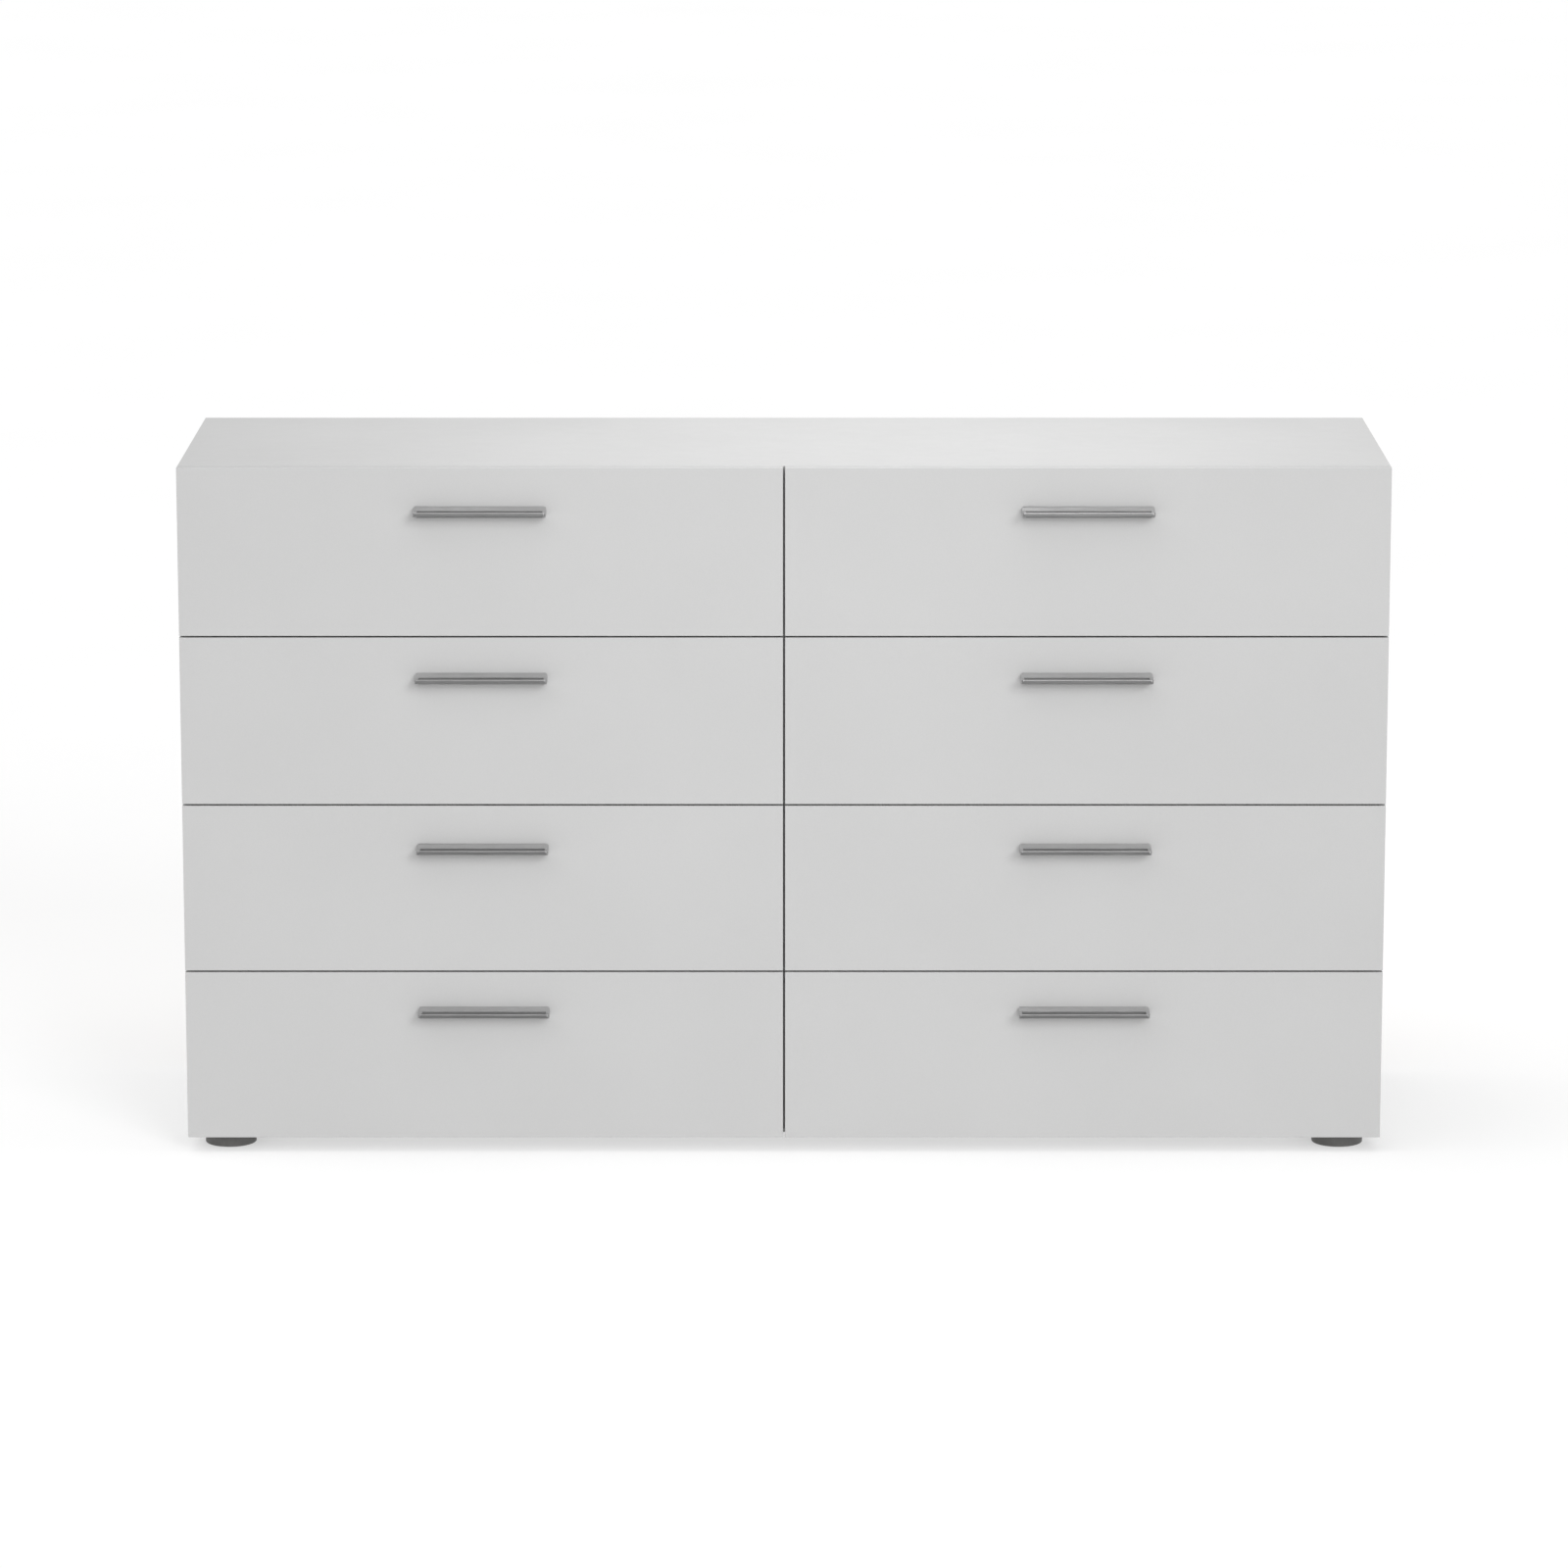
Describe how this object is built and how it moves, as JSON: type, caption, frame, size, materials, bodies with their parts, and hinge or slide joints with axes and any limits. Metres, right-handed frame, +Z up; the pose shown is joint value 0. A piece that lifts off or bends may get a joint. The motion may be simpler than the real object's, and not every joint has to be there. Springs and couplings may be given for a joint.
{
  "type": "dresser with drawers",
  "caption": "Wide low dresser in pale laminated board with full-overlay drawer fronts in two columns, slim metal bar handles and round dark feet.",
  "frame": {"origin": "on the floor under the middle of the whole dresser, handles included", "axes": "+X to the right along the width as seen from the front, +Y to the back, +Z up; the drawers open along -Y"},
  "size_m": [1.4, 0.425, 0.813],
  "materials": {
    "laminate": "satin off-white melamine foil on particle board",
    "drawer_board": "matt off-white foil on particle board",
    "hardboard": "hardboard, lacquered off-white on one face and raw brown fibre elsewhere",
    "handle_metal": "satin nickel",
    "runner_steel": "white epoxy on steel, with white nylon rollers",
    "fastener_steel": "bright zinc plate",
    "dowel_beech": "raw beech",
    "foot_plastic": "dark grey moulded plastic"
  },
  "bodies": {
    "cabinet": {"top_panel": "laminate", "bottom_panel": "laminate", "left_side_panel": "laminate", "right_side_panel": "laminate", "centre_divider": "laminate", "left_back_panel": "hardboard", "right_back_panel": "hardboard", "feet": "foot_plastic", "cabinet_runners": "runner_steel", "cam_fittings": "fastener_steel", "dowels": "dowel_beech", "cabinet_screws": "fastener_steel"},
    "drawer_left_1": {"drawer_left_1_front": "laminate", "drawer_left_1_sides": "drawer_board", "drawer_left_1_back": "drawer_board", "drawer_left_1_bottom": "hardboard", "drawer_left_1_handle": "handle_metal", "drawer_left_1_runners": "runner_steel"},
    "drawer_left_2": {"drawer_left_2_front": "laminate", "drawer_left_2_sides": "drawer_board", "drawer_left_2_back": "drawer_board", "drawer_left_2_bottom": "hardboard", "drawer_left_2_handle": "handle_metal", "drawer_left_2_runners": "runner_steel"},
    "drawer_left_3": {"drawer_left_3_front": "laminate", "drawer_left_3_sides": "drawer_board", "drawer_left_3_back": "drawer_board", "drawer_left_3_bottom": "hardboard", "drawer_left_3_handle": "handle_metal", "drawer_left_3_runners": "runner_steel"},
    "drawer_left_4": {"drawer_left_4_front": "laminate", "drawer_left_4_sides": "drawer_board", "drawer_left_4_back": "drawer_board", "drawer_left_4_bottom": "hardboard", "drawer_left_4_handle": "handle_metal", "drawer_left_4_runners": "runner_steel"},
    "drawer_right_1": {"drawer_right_1_front": "laminate", "drawer_right_1_sides": "drawer_board", "drawer_right_1_back": "drawer_board", "drawer_right_1_bottom": "hardboard", "drawer_right_1_handle": "handle_metal", "drawer_right_1_runners": "runner_steel"},
    "drawer_right_2": {"drawer_right_2_front": "laminate", "drawer_right_2_sides": "drawer_board", "drawer_right_2_back": "drawer_board", "drawer_right_2_bottom": "hardboard", "drawer_right_2_handle": "handle_metal", "drawer_right_2_runners": "runner_steel"},
    "drawer_right_3": {"drawer_right_3_front": "laminate", "drawer_right_3_sides": "drawer_board", "drawer_right_3_back": "drawer_board", "drawer_right_3_bottom": "hardboard", "drawer_right_3_handle": "handle_metal", "drawer_right_3_runners": "runner_steel"},
    "drawer_right_4": {"drawer_right_4_front": "laminate", "drawer_right_4_sides": "drawer_board", "drawer_right_4_back": "drawer_board", "drawer_right_4_bottom": "hardboard", "drawer_right_4_handle": "handle_metal", "drawer_right_4_runners": "runner_steel"}
  },
  "joints": [
    {"name": "drawer_left_1_slide", "type": "slide", "parent": "cabinet", "child": "drawer_left_1", "axis": [0, -1, 0], "range_m": [0, 0.27]},
    {"name": "drawer_left_2_slide", "type": "slide", "parent": "cabinet", "child": "drawer_left_2", "axis": [0, -1, 0], "range_m": [0, 0.27]},
    {"name": "drawer_left_3_slide", "type": "slide", "parent": "cabinet", "child": "drawer_left_3", "axis": [0, -1, 0], "range_m": [0, 0.27]},
    {"name": "drawer_left_4_slide", "type": "slide", "parent": "cabinet", "child": "drawer_left_4", "axis": [0, -1, 0], "range_m": [0, 0.27]},
    {"name": "drawer_right_1_slide", "type": "slide", "parent": "cabinet", "child": "drawer_right_1", "axis": [0, -1, 0], "range_m": [0, 0.27]},
    {"name": "drawer_right_2_slide", "type": "slide", "parent": "cabinet", "child": "drawer_right_2", "axis": [0, -1, 0], "range_m": [0, 0.27]},
    {"name": "drawer_right_3_slide", "type": "slide", "parent": "cabinet", "child": "drawer_right_3", "axis": [0, -1, 0], "range_m": [0, 0.27]},
    {"name": "drawer_right_4_slide", "type": "slide", "parent": "cabinet", "child": "drawer_right_4", "axis": [0, -1, 0], "range_m": [0, 0.27]}
  ]
}
